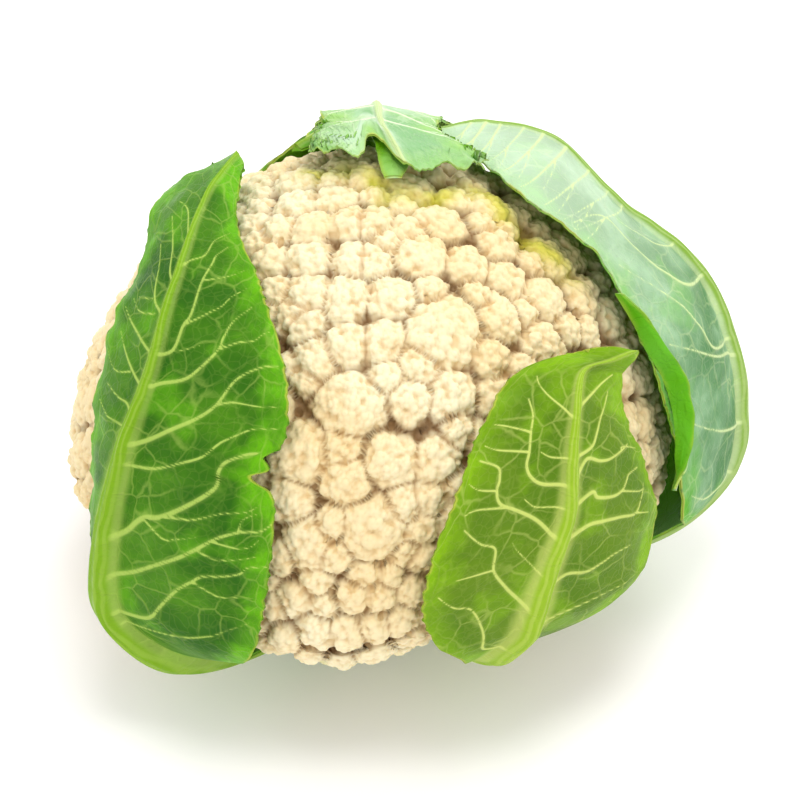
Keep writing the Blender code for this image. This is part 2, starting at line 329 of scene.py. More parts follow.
def make_curd(surface):
    """The curd: clusters of bumps of buds over the whole ball."""
    rng = random.Random(11)
    ways, quads, uvs = ball_grid(CURD_CELLS)
    points = on_head(ways, -CURD_INSET - dent(ways))
    climb = np.degrees(np.arcsin(np.clip(ways[:, 2], -1.0, 1.0)))
    relief = smoothstep(-68.0, -40.0, climb)

    centres, radii = cluster_list(rng)
    warped = points + 1.1 * MM * np.stack([noise(points, 8.0 * MM, seed)
                                           for seed in (1, 2, 3)], axis=-1)
    level = np.full(len(points), -CLUSTER_FLOOR)
    second = np.full(len(points), -CLUSTER_FLOOR)
    for centre, radius in zip(centres, radii):
        away = np.linalg.norm(warped - centre, axis=1)
        near = np.flatnonzero(away < 2.0 * radius)
        top = -SMALL_CLUSTER_DROP * (LARGEST_CLUSTER - radius)
        dome = top - CLUSTER_FALL * radius * (away[near] / radius) ** CLUSTER_POWER
        best = level[near]
        second[near] = np.maximum(second[near], np.minimum(best, dome))
        level[near] = np.maximum(best, dome)
    crease = np.exp(-(level - second) / CREASE_WIDTH)
    level = np.maximum(level, -CLUSTER_FLOOR) - CREASE_CUT * crease
    deep = np.clip(-level / CLUSTER_FLOOR, 0.0, 1.0)
    normals = vertex_normals(points, quads)
    points = points + normals * (level * relief)[:, None]

    warped = points + 0.4 * MM * np.stack([noise(points, 3.0 * MM, seed)
                                           for seed in (4, 5, 6)], axis=-1)
    level = domes(warped, BUMPS, rng)
    mid = -level / BUMPS[1]
    normals = vertex_normals(points, quads)
    points = points + normals * (level * relief)[:, None]

    level = domes(points, BUDS, rng)
    fine = -level / BUDS[1]
    normals = vertex_normals(points, quads)
    bud_relief = relief * smoothstep(-45.0, -15.0, climb)
    points = points + normals * (level * bud_relief)[:, None]

    points[:, 2] = np.maximum(points[:, 2], SEAT_HEIGHT)
    # deep, crease, mid and fine say how low each point lies; the curd's material paints shade from
    # them.
    values = {"deep": deep, "crease": crease, "mid": mid, "fine": fine,
              "climb": climb / 90.0, "edge_tint": leaf_edge_tint(ways)}
    return add_mesh("curd_look", points, quads, uvs, values, surface)


# ------------------------------------------------------------------------- leaves

LEAVES = {
    "left_leaf": {
        "rows": (
            ((-58, -79, 7), (-42, -79, 8), (-26, -79, 7)),
            ((-54, -36, 6), (-41, -30, 9), (-28, -36, 5)),
            ((-55, -12, 4), (-48, -12, 8), (-21, -6, 4)),
            ((-60, 8, 4), (-50, 10, 6), (-19, 12, 3)),
            ((-66, 22, 4), (-51, 26, 5.5), (-19, 30, 3)),
            ((-75, 34, 4), (-54, 39, 5), (-21, 45, 3)),
            ((-89, 46, 5), (-68, 53, 5), (-41, 60, 3)),
            ((-112, 48, 8), (-93, 60, 5), (-78, 65, 3)),
            ((-127, 58, 5), (-123, 61, 5), (-119, 63, 4)),
        ),
        "ribs": ((6.8, 7.5), (0.9, 0.9)),
        "seed": 21,
    },
    "front_right_leaf": {
        "rows": (
            ((10, -79, 7), (26, -79, 8), (42, -79, 7)),
            ((19, -44, 1), (26, -46, 1.5), (38, -44, 2)),
            ((16, -12, 2), (26, -15, -1), (47, -15, 3)),
            ((9, 7, 2.5), (30, 7, 2), (55, -2, 4)),
            ((12, 20, 3), (37, 20, 3), (60, 9, 3)),
            ((18, 31, 3), (40.5, 29, 4), (59, 20, 3)),
            ((25, 39, 3), (45.5, 36, 5), (58, 27, 4)),
            ((37, 45, 4), (51.5, 40, 5), (61, 34, 5)),
            ((56, 42, 5), (60, 38, 6), (63, 35, 6)),
            ((66, 37, 7), (67, 36, 7), (68, 35, 7)),
        ),
        "ribs": ((6.5, 5.5), (0.5, 0.3)),
        "seed": 22,
    },
    "right_leaf": {
        "rows": (
            ((74, -79, 7), (90, -79, 8), (106, -79, 7)),
            ((78, -44, 8), (90, -40, 12), (103, -42, 9)),
            ((77, -20, 7), (91, -22, 13), (114, -20, 7)),
            ((70, -3, 5), (93, -1, 14.5), (124, 0, 6)),
            ((71, 15, 4.5), (98, 11, 16), (130, 12, 7)),
            ((74, 31, 4.5), (106, 24, 15), (136, 24, 7)),
            ((83, 47, 5), (118, 36, 8.5), (143, 32, 8)),
            ((90, 60, 5), (133, 47, 11), (149, 38, 9)),
            ((124, 66, 2.5), (146, 54, 7.5), (153, 46, 7)),
            ((153, 62, 2.3), (155, 59, 2.5), (156, 56, 2.5)),
        ),
        "ribs": ((7.0, 8.0), (0.9, 0.8)),
        "seed": 23,
    },
    "top_leaf": {
        "rows": (
            ((-174, -79, 7), (172, -79, 8), (158, -79, 7)),
            ((-176, -44, 8), (172, -42, 9), (160, -44, 8)),
            ((-172, -18, 7), (173, -15, 8), (157, -18, 8)),
            ((-168, 3, 7), (175, 8, 7), (157, 3, 8)),
            ((-167, 22, 7), (177, 28, 7), (158, 20, 7.5)),
            ((-166, 40, 6.5), (180, 46, 7), (159, 40, 6.5)),
            ((-164, 55, 6.8), (179, 61, 7), (158, 58, 6.2)),
            ((-157, 66, 6.6), (175, 74, 5.5), (146, 68, 6)),
            ((-137, 73, 5), (118, 84, 5), (121, 66.5, 5.5)),
        ),
        "ribs": ((6.5, 7.0), (0.8, 0.5)),
        "seed": 24,
    },
    "back_left_leaf": {
        "rows": (
            ((-136, -79, 7), (-150, -79, 8), (-164, -79, 7)),
            ((-138, -44, 6), (-150, -42, 8), (-163, -44, 6)),
            ((-134, -18, 4), (-152, -15, 6), (-168, -18, 4)),
            ((-136, 3, 3), (-155, 8, 4), (-172, 3, 3)),
            ((-145, 20, 3), (-159, 28, 3), (-172, 20, 2.5)),
            ((-157, 36, 3), (-165, 44, 3), (-172, 40, 2)),
            ((-162, 52, 3), (-167, 57, 2.5), (-172, 58, 2)),
            ((-150, 65, 3), (-155, 67, 2.5), (-161, 69, 2)),
            ((-137, 68, 3), (-138, 69, 3), (-139, 70, 3)),
        ),
        "ribs": ((6.0, 5.5), (0.8, 0.5)),
        "seed": 25,
    },
}

# The near margin of the right leaf rolls outwards: rows from the fold to the free edge.
FLAP_ROWS = (
    ((78, 43, 5), (78, 42.5, 6.3), (77.8, 42, 7)),
    ((76, 38.5, 5), (76.5, 38.3, 7.5), (76.5, 37.5, 9)),
    ((74, 32.5, 5), (75, 32.3, 8), (75.8, 31, 9.3)),
    ((74, 26.5, 5), (75.2, 26.3, 8.2), (76.3, 25, 9.6)),
    ((72.8, 20.8, 5), (73.6, 20.3, 8.2), (74, 19, 9.6)),
    ((70, 15, 5), (70.2, 15, 7.6), (69.8, 14, 9)),
    ((66, 8.2, 4.7), (65, 9, 6.2), (63.5, 10.5, 7)),
)
# An inner leaf's tongue hangs under the top leaf's arch, and is part of that leaf.
TONGUE_ROWS = (
    ((-176, 70, 3.5), (172, 68, 3.5), (161, 67, 3.5)),
    ((-179, 73, 3), (170, 72, 3.2), (159, 71, 3)),
    ((178, 78, 2), (165, 77, 2.4), (152, 76, 2)),
    ((172, 83, 1.4), (155, 82.5, 1.8), (140, 80.5, 1.4)),
    ((140, 87, 1.0), (125, 86, 1.2), (118, 84.5, 1.0)),
)

# Lateral veins, each a line of places on its leaf from the midrib outwards. The first
# number is the vein's half width at its start in millimetres.
VEINS = {
    "left_leaf": (
        (1.5, (.505, .05), (.52, .17), (.545, .3), (.565, .4), (.592, .5), (.63, .6),
         (.65, .78), (.655, .95)),
        (0.8, (.592, .5), (.60, .6), (.60, .75), (.605, .95)),
        (1.3, (.60, .05), (.608, .12), (.62, .28), (.64, .38), (.663, .48), (.68, .52),
         (.70, .6), (.72, .78)),
        (0.8, (.663, .48), (.675, .62), (.68, .75), (.69, .85), (.695, .95)),
        (1.2, (.645, .04), (.655, .15), (.685, .2), (.70, .25), (.745, .3), (.775, .38),
         (.79, .43), (.81, .6)),
        (0.8, (.685, .2), (.705, .4), (.715, .5), (.73, .6), (.745, .77)),
        (0.7, (.745, .3), (.755, .5), (.775, .8)),
        (0.9, (.755, .02), (.77, .1), (.785, .28), (.815, .4), (.84, .7)),
        (0.7, (.655, .15), (.655, .2), (.665, .35)),
        (1.0, (.475, .02), (.48, .2), (.485, .28), (.50, .4), (.515, .5), (.535, .56),
         (.545, .6), (.565, .72), (.57, .8), (.575, .95)),
        (1.9, (.37, .0), (.39, .15), (.415, .25), (.425, .35), (.45, .48), (.48, .6),
         (.50, .6), (.515, .63), (.53, .73), (.535, .8)),
        (0.9, (.425, .35), (.43, .43), (.435, .52), (.45, .65), (.46, .8), (.47, .87)),
        (0.8, (.415, .25), (.40, .38), (.405, .45), (.415, .55)),
        (1.6, (.325, .03), (.335, .08), (.35, .25), (.38, .45), (.40, .55), (.415, .62),
         (.425, .68), (.435, .78), (.44, .9), (.45, 1)),
        (0.8, (.40, .55), (.395, .65), (.40, .75), (.41, .9)),
        (0.7, (.415, .62), (.415, .76), (.42, .85), (.43, .9)),
        (0.7, (.435, .76), (.45, .78), (.46, .87)),
        (1.3, (.275, .08), (.29, .3), (.315, .38), (.345, .48), (.36, .55), (.37, .6),
         (.375, .68), (.385, .8), (.395, .85), (.40, 1)),
        (0.7, (.36, .55), (.35, .68), (.35, .72), (.355, .84), (.355, .92)),
        (0.9, (.25, .1), (.27, .5), (.30, .7), (.32, .9)),
        (1.1, (.59, -.02), (.60, -.1), (.615, -.25), (.63, -.4), (.65, -.6)),
        (0.7, (.61, -.25), (.60, -.5), (.62, -.85)),
        (1.0, (.64, 0), (.66, -.3), (.67, -.5), (.68, -.7)),
        (1.1, (.66, .0), (.69, -.05), (.705, -.2), (.73, -.3), (.78, -.45)),
        (0.7, (.69, -.15), (.685, -.4), (.695, -.6)),
        (0.6, (.705, -.25), (.70, -.5)),
        (0.9, (.73, 0), (.735, -.05), (.75, -.15), (.79, -.25), (.83, -.4)),
        (0.8, (.80, 0), (.81, -.05), (.85, -.2), (.86, -.4)),
        (1.0, (.53, 0), (.56, -.15), (.565, -.3), (.575, -.6)),
        (0.9, (.50, 0), (.525, -.1), (.53, -.4), (.545, -.7)),
    ),
    "front_right_leaf": (
        (1.3, (.50, .03), (.545, .15), (.54, .3), (.545, .42), (.565, .58), (.585, .7)),
        (0.7, (.565, .58), (.575, .6), (.575, .85)),
        (1.2, (.55, .03), (.57, .2), (.60, .27), (.66, .37), (.72, .48)),
        (1.0, (.66, .03), (.70, .2), (.74, .38), (.78, .6)),
        (1.4, (.45, .03), (.475, .2), (.465, .25), (.465, .38), (.475, .48), (.495, .55),
         (.51, .6), (.525, .75)),
        (0.7, (.475, .48), (.475, .7), (.485, .77)),
        (1.4, (.40, .03), (.42, .2), (.425, .32), (.43, .47), (.435, .62), (.46, .7),
         (.49, .78)),
        (0.7, (.435, .62), (.435, .8)),
        (1.3, (.34, .03), (.355, .15), (.355, .3), (.365, .4), (.375, .48), (.385, .62)),
        (1.0, (.30, .1), (.31, .3), (.32, .5), (.33, .7)),
        (1.3, (.47, -.02), (.495, -.05), (.51, -.25), (.53, -.35), (.555, -.4), (.58, -.4),
         (.62, -.42), (.66, -.45), (.70, -.55)),
        (0.8, (.58, -.40), (.59, -.55), (.60, -.7), (.615, -.85)),
        (0.8, (.62, -.42), (.63, -.5), (.65, -.7), (.66, -.85)),
        (1.5, (.395, .0), (.405, -.03), (.42, -.12), (.45, -.27), (.475, -.42),
         (.495, -.55), (.52, -.6), (.54, -.6), (.565, -.65), (.585, -.85)),
        (0.8, (.485, -.50), (.495, -.73), (.49, -.83)),
        (0.7, (.52, -.6), (.53, -.77), (.545, -.9)),
        (1.4, (.30, 0), (.31, -.03), (.335, -.2), (.355, -.32), (.385, -.45), (.42, -.5),
         (.435, -.62), (.465, -.78)),
        (0.8, (.385, -.45), (.385, -.6), (.385, -.72)),
        (0.8, (.345, 0), (.355, -.03), (.37, -.13), (.40, -.3), (.42, -.38)),
        (0.9, (.44, 0), (.45, -.02), (.46, -.12), (.47, -.28), (.49, -.37)),
        (0.9, (.54, 0), (.55, -.02), (.56, -.2), (.575, -.3)),
        (1.0, (.63, 0), (.64, -.05), (.66, -.15), (.70, -.35), (.76, -.6)),
        (1.1, (.25, -.1), (.26, -.45), (.30, -.45), (.335, -.55), (.345, -.7),
         (.365, -.85)),
    ),
    "right_leaf": (
        (1.3, (.45, -.03), (.47, -.15), (.49, -.35), (.52, -.55), (.55, -.75)),
        (1.2, (.47, -.02), (.48, -.1), (.50, -.35), (.535, -.42), (.57, -.5), (.60, -.6),
         (.65, -.8)),
        (1.3, (.54, 0), (.55, -.05), (.57, -.3), (.60, -.42), (.625, -.48), (.66, -.5),
         (.69, -.52), (.71, -.62), (.73, -.85)),
        (1.0, (.59, 0), (.60, -.1), (.62, -.25), (.64, -.3), (.66, -.35), (.685, -.4)),
        (1.4, (.36, -.03), (.38, -.2), (.41, -.45), (.45, -.75)),
        (1.2, (.28, -.05), (.31, -.3), (.34, -.6), (.37, -.85)),
    ),
    "top_leaf": (),
    "back_left_leaf": (),
}


def spline(values, position):
    """Smooth curve through rows of values at each position, 0 to 1."""
    reach = position * (len(values) - 1)
    index = np.clip(reach.astype(int), 0, len(values) - 2)
    t = (reach - index)[..., None]
    before = values[np.maximum(index - 1, 0)]
    start = values[index]
    end = values[index + 1]
    after = values[np.minimum(index + 2, len(values) - 1)]
    return cubic(before, start, end, after, t)


def cubic(before, start, end, after, t):
    """The Catmull-Rom piece from start to end at t."""
    return 0.5 * (2.0 * start + (end - before) * t
                  + (2.0 * before - 5.0 * start + 4.0 * end - after) * t * t
                  + (3.0 * start - before - 3.0 * end + after) * t * t * t)


def leaf_lines(rows):
    """A leaf's rows as three lines of 4-vectors: direction, then gap in metres."""
    table = np.array(rows, dtype=float)
    ways = directions(table[..., 0], table[..., 1])
    mixed = np.concatenate([ways, table[..., 2:] * MM], axis=-1)
    return [mixed[:, side] for side in range(3)]


def leaf_at(lines, along, across):
    """Points on a leaf's inner face at arrays of along and across."""
    first, middle, last = [spline(line, along) for line in lines]
    second_half = (across > 0.0)[..., None]
    t = np.where(across > 0.0, across, across + 1.0)[..., None]
    mixed = np.where(second_half, cubic(first, middle, last, last, t),
                     cubic(first, first, middle, last, t))
    ways = mixed[..., :3]
    ways = ways / np.linalg.norm(ways, axis=-1, keepdims=True)
    return on_head(ways, mixed[..., 3])


def grid_normals(points):
    """Unit normals of a grid of points, facing away from the head."""
    along = np.gradient(points, axis=0)
    across = np.gradient(points, axis=1)
    normal = np.cross(along, across)
    normal /= np.maximum(np.linalg.norm(normal, axis=-1, keepdims=True), 1e-12)
    middle = np.array([0.0, 0.0, WIDEST_LEVEL])
    facing = np.sum(normal * (points - middle), axis=-1)
    return normal * np.where(facing.sum() < 0.0, -1.0, 1.0)


def vein_samples(lines, veins):
    """Points along the veins, close together, with the half width there."""
    places, widths = [], []
    for vein in veins:
        start_width = vein[0] * MM
        route = np.array(vein[1:], dtype=float)
        steps = np.linspace(0.0, 1.0, 20 * len(route))
        smooth = spline(route, steps)
        points = leaf_at(lines, smooth[:, 0], smooth[:, 1])
        places.append(points)
        widths.append(VEIN_SCALE * start_width * (1.0 - 0.62 * steps))
    if not places:
        return np.zeros((0, 3)), np.zeros(0)
    return np.concatenate(places), np.concatenate(widths)


def rule_veins(seed, count, side, start, end, lean):
    """Evenly spaced side veins that lean towards the tip, for one half of a leaf."""
    rng = random.Random(seed)
    veins = []
    for index in range(count):
        at = start + (end - start) * (index + rng.uniform(-0.2, 0.2)) / count
        bend = lean * rng.uniform(0.8, 1.2)
        route = [(min(at + bend * reach ** 1.3, 0.99), side * reach)
                 for reach in (0.03, 0.25, 0.5, 0.72, 0.92)]
        veins.append((rng.uniform(0.8, 1.3), *route))
        fork = rng.uniform(0.35, 0.55)
        origin = at + bend * fork ** 1.3
        veins.append((0.7, (origin, side * fork), (origin + 0.004, side * (fork + 0.2)),
                      (origin + 0.012, side * min(fork + 0.42, 0.97))))
    return veins


ALONG_STEPS = 340
ACROSS_STEPS = 176
# How much narrower a vein's ridge is than its listed width, and how high per width.
VEIN_SCALE = 0.50
VEIN_HEIGHT = 0.75
FARTHEST_VEIN = 8.0
# Where along a leaf its stalk ends and its blade starts.
BLADE_START = 0.22
# Teeth along a margin: their spacing, and how far they stand out.
TOOTH_SPACING = 5.2 * MM
TOOTH_REACH = 2.3 * MM
# A midrib narrows from base to tip by this power of the way left to the tip.
RIB_TAPER = 1.6
# It takes up no more than this share of the half leaf beside it.
RIB_SHARE = 0.8
# The top leaf's broad end: how wide it is along its edge, and how long the leaf is.
TIP_WIDTH = 60.0 * MM
TIP_RUN = 170.0 * MM


def peaks(phase):
    """A zigzag from 0 up to 1 and back for each whole step of phase."""
    return 1.0 - 2.0 * np.abs(phase % 1.0 - 0.5)


def run_length(line):
    """Distance run along a line of points up to each of them, as a column."""
    steps = np.linalg.norm(np.diff(line, axis=0), axis=-1)
    return np.concatenate([[0.0], np.cumsum(steps)])[:, None]


def margin_edge(along, half, run, seed, options):
    """One margin's reach as a share of the half leaf, and its teeth, at each along."""
    phase = run / TOOTH_SPACING + 0.9 * noise_line(run, 13.0 * MM, seed)
    tooth = peaks(phase) ** 2.0 * (0.7 + 0.3 * noise_line(run, 8.0 * MM, seed + 2))
    tooth += 0.3 * peaks(2.3 * phase)
    ragged = 1.0 * MM * noise_line(run, 17.0 * MM, seed + 4)
    ragged += TOOTH_REACH * options.get("teeth", 1.0) * tooth
    if not options.get("rolled"):
        ragged *= smoothstep(BLADE_START, 0.35, along)
    ragged *= smoothstep(0.0, 8.0 * MM, half)
    return 1.0 + ragged / np.maximum(half, 6.0 * MM), tooth


def tip_edge(across, seed, options):
    """How far the broad end stands out at each across, as a share of the leaf's length."""
    cut = np.zeros_like(across)
    for bay_across, bay_half, bay_depth in options.get("tip_bays", ()):
        cut = cut - bay_depth * np.exp(-(np.abs((across - bay_across) / bay_half)) ** 3)
    if options.get("tip_frill"):
        sweep = (across + 1.0) * 0.5 * TIP_WIDTH
        phase = sweep / TOOTH_SPACING + 0.8 * noise_line(sweep, 9.0 * MM, seed + 20)
        cut = cut + 0.007 * peaks(1.4 * phase) ** 1.4
        cut = cut + 0.011 * peaks(2.6 * phase) ** 1.3
        cut = cut + 0.006 * noise_line(sweep, 6.0 * MM, seed + 21)
    return cut


def vein_fields(points, lines, veins):
    """At each point: distance to the veins in half widths and metres, and their height."""
    reach = np.full(len(points), FARTHEST_VEIN)
    distance = np.full(len(points), 30.0 * MM)
    ridge = np.zeros(len(points))
    places, widths = vein_samples(lines, veins)
    if len(places) == 0:
        return reach, distance, ridge
    tree = KDTree(len(places))
    for index, place in enumerate(places.tolist()):
        tree.insert(place, index)
    tree.balance()
    for index, place in enumerate(points.tolist()):
        _, found, away = tree.find(place)
        size = widths[found]
        distance[index] = away
        reach[index] = min(away / size, FARTHEST_VEIN)
        ridge[index] = math.exp(-(away / size) ** 2) * size * VEIN_HEIGHT
    return reach, distance, ridge


def shell_faces(shape):
    """Quads of one face of a sheet, of its whole shell, and the points round its edge."""
    count = shape[0] * shape[1]
    grid = np.arange(count).reshape(shape)
    cells = np.stack([grid[:-1, :-1], grid[1:, :-1], grid[1:, 1:], grid[:-1, 1:]], axis=-1)
    cells = cells.reshape(-1, 4)
    loop = np.concatenate([grid[0, :-1], grid[:-1, -1], grid[-1, :0:-1], grid[:0:-1, 0]])
    following = np.roll(loop, -1)
    strip = np.stack([loop, following, following + count, loop + count], axis=-1)
    return cells, np.concatenate([cells, cells[:, ::-1] + count, strip[:, ::-1]]), loop


def shell_uvs(along, across, cells, loop, options):
    """UVs of a shell's corners: both faces side by side, and the rim in a strip."""
    left, low, right, high = options.get("uv", (0.005, 0.11, 0.995, 0.93))
    place = np.stack([(across + 1.0) / 2.0, along], axis=-1).reshape(-1, 2)
    span = (right - left) / 2.0 - 0.005
    size = np.array([span, high - low])
    outer = np.array([left, low]) + place * size
    inner = np.array([left + span + 0.01, low]) + place * size
    turn_round = left + np.linspace(0.0, 1.0, len(loop) + 1) * (right - left)
    rim_low, rim_high = options.get("rim_uv", (0.94, 0.995))
    level = np.full(len(loop), rim_low)
    starts = np.stack([turn_round[:-1], level], -1)
    ends = np.stack([turn_round[1:], level], -1)
    rise = np.array([0.0, rim_high - rim_low])
    rim = np.stack([starts, ends, ends + rise, starts + rise], axis=1)
    return np.concatenate([outer[cells], inner[cells[:, ::-1]], rim[:, ::-1]])


def sheet(rows, ribs, veins, seed, options):
    """One leaf as a thin closed shell: points, quads, UVs and values per point."""
    lines = leaf_lines(rows)
    steps = options.get("steps", (ALONG_STEPS, ACROSS_STEPS))
    shape = (steps[0] + 1, steps[1] + 1)
    straight = np.linspace(0.0, 1.0, shape[0])[:, None]
    along = straight * np.ones((1, shape[1]))
    across = np.ones((shape[0], 1)) * np.linspace(-1.0, 1.0, shape[1])[None, :]
    margins = [leaf_at(lines, straight, side * np.ones_like(straight)) for side in (-1.0, 1.0)]
    middle = leaf_at(lines, straight, np.zeros_like(straight))
    half = [np.linalg.norm(margin - middle, axis=-1) for margin in margins]
    travel = [run_length(margin[:, 0]) for margin in margins]

    reach = np.ones_like(across)
    tooth_height = np.zeros_like(across)
    for index, side in enumerate((across < 0.0, across >= 0.0)):
        edge, tooth = margin_edge(straight, half[index], travel[index], seed + index, options)
        for bay_side, bay_along, bay_half, bay_depth in options.get("bays", ()):
            if bay_side == index:
                fall = np.exp(-((straight - bay_along) / bay_half) ** 2)
                edge = edge * (1.0 - bay_depth * fall)
        tooth_height = np.where(side, tooth, tooth_height)
        reach = np.where(side, edge, reach)
    along = along + tip_edge(across, seed, options) * smoothstep(0.7, 1.0, along)
    base = leaf_at(lines, along, across * reach)
    normals = grid_normals(base)

    width = np.where(across < 0.0, half[0], half[1])
    aside = across * reach * width
    left_over = np.maximum(1.0 - along, 0.0) ** RIB_TAPER
    rib_half = (ribs[1][0] + (ribs[0][0] - ribs[1][0]) * left_over) * MM
    rib_half = np.minimum(rib_half, RIB_SHARE * np.maximum(width, 1e-6))
    rib_high = (ribs[1][1] + (ribs[0][1] - ribs[1][1]) * left_over) * MM
    off = np.abs(aside) / rib_half
    rib = np.cos(np.clip(off, 0.0, 1.0) * math.pi / 2.0) ** 0.8
    groove = 0.05 * rib * rib_high * np.cos(off * 2.0 * math.pi * 2.3)
    thickness = options.get("thickness", (1.7, 0.7))
    fade = np.clip((np.abs(across) - 0.1) / 0.9, 0.0, 1.0)
    body = (thickness[0] + (thickness[1] - thickness[0]) * fade) * MM

    flat = base.reshape(-1, 3)
    vein, distance, ridge = [field.reshape(shape) for field in vein_fields(flat, lines, veins)]
    distance = np.minimum(distance, np.maximum(np.abs(aside) - rib_half, 0.0))

    # The blade is puckered between its veins and wavy at its margins.
    blade_from = options.get("blade_from", BLADE_START)
    blade = smoothstep(blade_from, blade_from + 0.2, along)
    pucker = -options.get("pucker", 1.0) * MM * (1.0 - np.exp(-(distance / (6.0 * MM)) ** 2))
    pucker = pucker + 0.35 * MM * noise(flat, 7.0 * MM, seed + 8).reshape(shape)
    pucker *= blade
    edge_gap = (1.0 - np.abs(across)) * width
    rim = np.exp(-edge_gap / (5.0 * MM)) * blade
    run = np.where(across < 0.0, travel[0], travel[1])
    wave = options.get("frill", 1.4) * MM * rim * (
        noise_line(run, 11.0 * MM, seed + 10) + 0.6 * noise_line(run, 4.5 * MM, seed + 11))
    lift = pucker + wave + options.get("flare", 0.4) * MM * rim
    if options.get("tip_frill"):
        to_tip = (1.0 - straight) * TIP_RUN
        edge_gap = np.minimum(edge_gap, to_tip)
        body = body * (0.35 + 0.65 * smoothstep(0.0, 12.0 * MM, to_tip))
        sweep = (across + 1.0) * 0.5 * TIP_WIDTH
        near_tip = np.exp(-(1.0 - along) / 0.035)
        lift = lift + near_tip * MM * (1.6 * noise_line(sweep, 6.0 * MM, seed + 22)
                                       + 0.9 * noise_line(sweep, 2.6 * MM, seed + 23))

    inner = base + normals * lift[..., None]
    outer = base + normals * (lift + body + rib * rib_high + groove
                              + ridge * (1.0 - rib))[..., None]
    points = np.concatenate([inner.reshape(-1, 3), outer.reshape(-1, 3)])
    cells, quads, loop = shell_faces(shape)
    uvs = shell_uvs(along, across, cells, loop, options)

    length = run_length(middle[:, 0]) * np.ones(shape)
    fields = {"vein_reach": vein, "rib_side": np.clip(aside / rib_half, -3.0, 3.0),
              "tooth": tooth_height, "edge_gap": edge_gap / MM, "along": along}
    values = {key: np.concatenate([field.ravel()] * 2) for key, field in fields.items()}
    place = np.stack([length, aside, np.full(shape, float(seed))], axis=-1).reshape(-1, 3)
    values["blade_place"] = np.concatenate([place] * 2)
    rolled = float(options.get("rolled", False))
    values["inside"] = np.repeat([1.0 - rolled, rolled], len(flat))

    # Faces are wound so that they look out of the shell.
    start = cells[len(cells) // 2]
    corner = points[start + len(flat)]
    facing = np.cross(corner[2] - corner[0], corner[3] - corner[1])
    if facing @ normals.reshape(-1, 3)[start[0]] > 0.0:
        quads = np.ascontiguousarray(quads[:, ::-1])
        uvs = np.ascontiguousarray(uvs[:, ::-1])
    return points, quads, uvs, values


# ---------------------------------------------------------------------- materials

def make(tree, kind, values=None, **settings):
    """A new node with its settings, and with its inputs linked or set."""
    made = tree.nodes.new(kind)
    for key, value in settings.items():
        setattr(made, key, value)
    for socket, value in (values or {}).items():
        if isinstance(value, bpy.types.NodeSocket):
            tree.links.new(value, made.inputs[socket])
        else:
            made.inputs[socket].default_value = value
    return made


def value_of(tree, name):
    """The mesh's own value called name."""
    return make(tree, "ShaderNodeAttribute", attribute_name=name).outputs["Fac"]


def vector_of(tree, name):
    """The mesh's own vector called name."""
    return make(tree, "ShaderNodeAttribute", attribute_name=name).outputs["Vector"]


def calc(tree, operation, first, second=0.0, clamp=False):
    """Arithmetic on one or two values."""
    values = {0: first, 1: second}
    return make(tree, "ShaderNodeMath", values, operation=operation,
                use_clamp=clamp).outputs[0]


def remap(tree, value, low, high, to_low=0.0, to_high=1.0):
    """A smooth change from to_low at low to to_high at high."""
    values = {"Value": value, "From Min": low, "From Max": high, "To Min": to_low,
              "To Max": to_high}
    return make(tree, "ShaderNodeMapRange", values,
                interpolation_type="SMOOTHSTEP").outputs["Result"]


def mix(tree, share, first, second):
    """Two colours mixed: the first at share 0, the second at share 1."""
    made = make(tree, "ShaderNodeMix", data_type="RGBA")
    for socket, value in ((0, share), (6, first), (7, second)):
        if isinstance(value, bpy.types.NodeSocket):
            tree.links.new(value, made.inputs[socket])
        else:
            made.inputs[socket].default_value = value
    return made.outputs[2]


def grain(tree, place, scale, detail=2.0, rough=0.5):
    """Soft noise from 0 to 1 at a place."""
    values = {"Vector": place, "Scale": scale, "Detail": detail, "Roughness": rough}
    return make(tree, "ShaderNodeTexNoise", values).outputs["Fac"]


def colour(red, green, blue):
    """A colour given as it looks on a screen, 0 to 255, in linear light."""
    linear = []
    for value in (red, green, blue):
        share = value / 255.0
        linear.append(share / 12.92 if share <= 0.04045 else ((share + 0.055) / 1.055) ** 2.4)
    return (*linear, 1.0)


def new_surface(name, roughness):
    """A new material, its node tree and its shader."""
    made = bpy.data.materials.new(name)
    made.use_nodes = True
    shader = made.node_tree.nodes["Principled BSDF"]
    shader.inputs["Roughness"].default_value = roughness
    return made, made.node_tree, shader


def set_numbers(shader, numbers):
    """Uniform numbers on the shader's own sockets."""
    for socket, number in numbers.items():
        shader.inputs[socket].default_value = number


def place_node(tree):
    """The place on the object that is shaded, in metres."""
    return make(tree, "ShaderNodeTexCoord").outputs["Object"]


